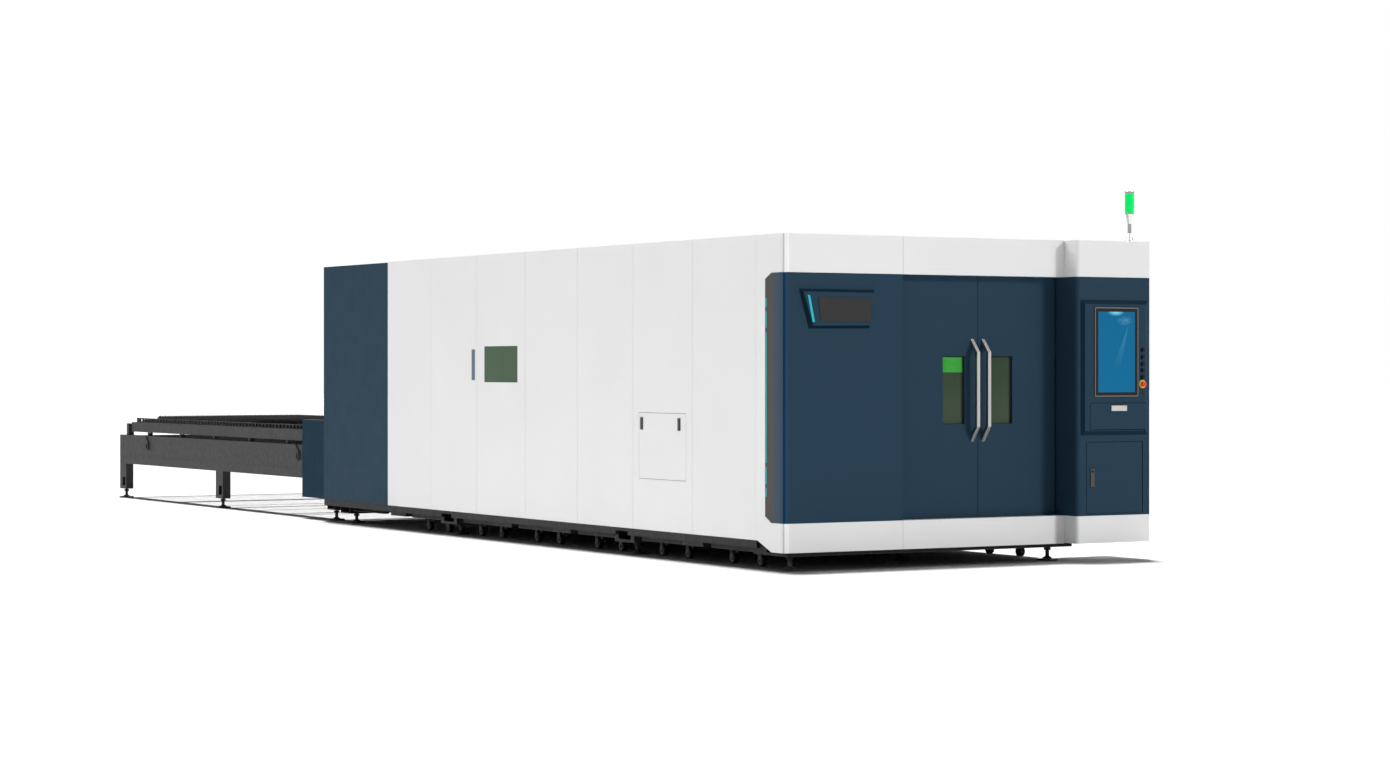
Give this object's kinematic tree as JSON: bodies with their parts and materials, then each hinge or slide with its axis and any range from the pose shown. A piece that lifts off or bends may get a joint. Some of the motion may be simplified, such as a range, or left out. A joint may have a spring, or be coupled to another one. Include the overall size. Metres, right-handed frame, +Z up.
{
  "type": "fiber laser cutting machine",
  "caption": "Enclosed flat-bed fiber laser cutting machine with front double doors, side control cabinet, signal lamp and a long two-level exchange table behind.",
  "frame": {"origin": "middle of the footprint, on the floor", "axes": "+Y from the front doors towards the exchange table, +X to the right along the front, +Z up"},
  "size_m": [3.021, 13.814, 2.661],
  "materials": {
    "white_enamel": "smooth satin powder coat",
    "navy_enamel": "smooth satin powder coat",
    "machine_black": "matt paint on welded steel",
    "table_grey": "satin paint on welded steel",
    "foot_steel": "blackened steel",
    "trim_dark": "satin trim sheet",
    "light_teal": "lit diffuser strip",
    "badge_black": "blank gloss plate",
    "laser_glass": "green laser protection window",
    "handle_steel": "brushed stainless tube",
    "latch_dark": "moulded latch",
    "monitor_black": "thin metal frame, black border",
    "screen_blue": "lit display",
    "button_black": "moulded cap",
    "estop_yellow": "moulded ring",
    "estop_red": "mushroom head",
    "pull_aluminium": "satin anodised",
    "lamp_chrome": "polished",
    "lamp_green": "lit lens",
    "guide_steel": "ground steel",
    "gantry_grey": "painted gantry",
    "head_alloy": "machined housing",
    "slat_steel": "mill-scale steel slats",
    "cart_steel": "painted tray with rubber casters"
  },
  "bodies": {
    "machine": {"badge_housing": "navy_enamel", "badge_plate": "badge_black", "base_rails": "machine_black", "bed_cross_members": "machine_black", "bed_side_beams": "machine_black", "cabinet_fascia": "navy_enamel", "cabinet_shell": "white_enamel", "corner_cover": "white_enamel", "enclosure_frame": "machine_black", "estop_ring": "estop_yellow", "front_covers": "white_enamel", "front_lights": "light_teal", "front_panel": "navy_enamel", "gantry_guides": "guide_steel", "lamp_lens": "lamp_green", "lamp_stand": "lamp_chrome", "left_side_panels": "white_enamel", "levelling_feet": "foot_steel", "lift_links": "foot_steel", "monitor_frame": "monitor_black", "monitor_screen": "screen_blue", "pallet_rails": "table_grey", "rear_side_panels": "navy_enamel", "rear_skirts": "navy_enamel", "rear_wall": "navy_enamel", "right_side_panels": "white_enamel", "roof_panels": "white_enamel", "side_window": "laser_glass", "table_frame": "table_grey", "trim_strips": "trim_dark"},
    "door_left": {"door_left": "navy_enamel", "door_left_glass": "laser_glass", "door_left_handle": "handle_steel"},
    "door_right": {"door_right": "navy_enamel", "door_right_glass": "laser_glass", "door_right_handle": "handle_steel"},
    "side_hatch": {"hatch": "white_enamel", "hatch_latches": "latch_dark"},
    "keyboard_tray": {"keyboard_flap": "navy_enamel", "flap_pull": "pull_aluminium"},
    "cabinet_door": {"cabinet_door": "navy_enamel"},
    "cabinet_latch": {"cabinet_latch": "latch_dark"},
    "estop": {"estop_button": "estop_red"},
    "gantry": {"gantry_beam": "gantry_grey"},
    "carriage": {"head_carriage": "head_alloy"},
    "head": {"cutting_head": "head_alloy"},
    "upper_pallet": {"upper_pallet": "table_grey", "upper_slats": "slat_steel"},
    "lower_pallet": {"lower_pallet": "table_grey"},
    "button_1": {"button_1": "button_black"},
    "button_2": {"button_2": "button_black"},
    "button_3": {"button_3": "button_black"},
    "button_4": {"button_4": "button_black"},
    "button_5": {"button_5": "button_black"},
    "cart_1": {"slag_cart_1": "cart_steel"},
    "cart_2": {"slag_cart_2": "cart_steel"},
    "cart_3": {"slag_cart_3": "cart_steel"},
    "cart_4": {"slag_cart_4": "cart_steel"},
    "cart_5": {"slag_cart_5": "cart_steel"},
    "cart_6": {"slag_cart_6": "cart_steel"}
  },
  "joints": [
    {"name": "door_left_hinge", "type": "hinge", "parent": "machine", "child": "door_left", "pos_m": [-0.5035, -6.603, 1.177], "axis": [0, 0, -1], "range_deg": [0, 90]},
    {"name": "door_right_hinge", "type": "hinge", "parent": "machine", "child": "door_right", "pos_m": [0.8245, -6.603, 1.177], "axis": [0, 0, 1], "range_deg": [0, 90]},
    {"name": "side_hatch_hinge", "type": "hinge", "parent": "machine", "child": "side_hatch", "pos_m": [-1.4955, -5.05, 0.579], "axis": [0, -1, 0], "range_deg": [0, 90]},
    {"name": "keyboard_hinge", "type": "hinge", "parent": "machine", "child": "keyboard_tray", "pos_m": [1.213, -6.872, 0.947], "axis": [1, 0, 0], "range_deg": [0, 90]},
    {"name": "cabinet_door_hinge", "type": "hinge", "parent": "machine", "child": "cabinet_door", "pos_m": [1.4325, -6.855, 0.5975], "axis": [0, 0, 1], "range_deg": [0, 100]},
    {"name": "cabinet_latch_turn", "type": "hinge", "parent": "cabinet_door", "child": "cabinet_latch", "pos_m": [0.987, -6.865, 0.643], "axis": [0, -1, 0], "range_deg": [0, 90]},
    {"name": "button_1_press", "type": "slide", "parent": "machine", "child": "button_1", "axis": [0, 1, 0], "range_m": [0, 0.004], "stiffness_N_per_m": 400},
    {"name": "button_2_press", "type": "slide", "parent": "machine", "child": "button_2", "axis": [0, 1, 0], "range_m": [0, 0.004], "stiffness_N_per_m": 400},
    {"name": "button_3_press", "type": "slide", "parent": "machine", "child": "button_3", "axis": [0, 1, 0], "range_m": [0, 0.004], "stiffness_N_per_m": 400},
    {"name": "button_4_press", "type": "slide", "parent": "machine", "child": "button_4", "axis": [0, 1, 0], "range_m": [0, 0.004], "stiffness_N_per_m": 400},
    {"name": "button_5_press", "type": "slide", "parent": "machine", "child": "button_5", "axis": [0, 1, 0], "range_m": [0, 0.004], "stiffness_N_per_m": 400},
    {"name": "estop_press", "type": "slide", "parent": "machine", "child": "estop", "axis": [0, 1, 0], "range_m": [0, 0.005], "stiffness_N_per_m": 900},
    {"name": "gantry_travel", "type": "slide", "parent": "machine", "child": "gantry", "axis": [0, 1, 0], "range_m": [0, 5.6]},
    {"name": "carriage_travel", "type": "slide", "parent": "gantry", "child": "carriage", "axis": [1, 0, 0], "range_m": [0, 1.737]},
    {"name": "head_lift", "type": "slide", "parent": "carriage", "child": "head", "axis": [0, 0, -1], "range_m": [0, 0.11]},
    {"name": "upper_pallet_travel", "type": "slide", "parent": "machine", "child": "upper_pallet", "axis": [0, -1, 0], "range_m": [0, 7.16]},
    {"name": "lower_pallet_travel", "type": "slide", "parent": "machine", "child": "lower_pallet", "axis": [0, 1, 0], "range_m": [0, 7.16]},
    {"name": "cart_1_pull", "type": "slide", "parent": "machine", "child": "cart_1", "axis": [-1, 0, 0], "range_m": [0, 1.5]},
    {"name": "cart_2_pull", "type": "slide", "parent": "machine", "child": "cart_2", "axis": [-1, 0, 0], "range_m": [0, 1.5]},
    {"name": "cart_3_pull", "type": "slide", "parent": "machine", "child": "cart_3", "axis": [-1, 0, 0], "range_m": [0, 1.5]},
    {"name": "cart_4_pull", "type": "slide", "parent": "machine", "child": "cart_4", "axis": [-1, 0, 0], "range_m": [0, 1.5]},
    {"name": "cart_5_pull", "type": "slide", "parent": "machine", "child": "cart_5", "axis": [-1, 0, 0], "range_m": [0, 1.5]},
    {"name": "cart_6_pull", "type": "slide", "parent": "machine", "child": "cart_6", "axis": [-1, 0, 0], "range_m": [0, 1.5]}
  ]
}
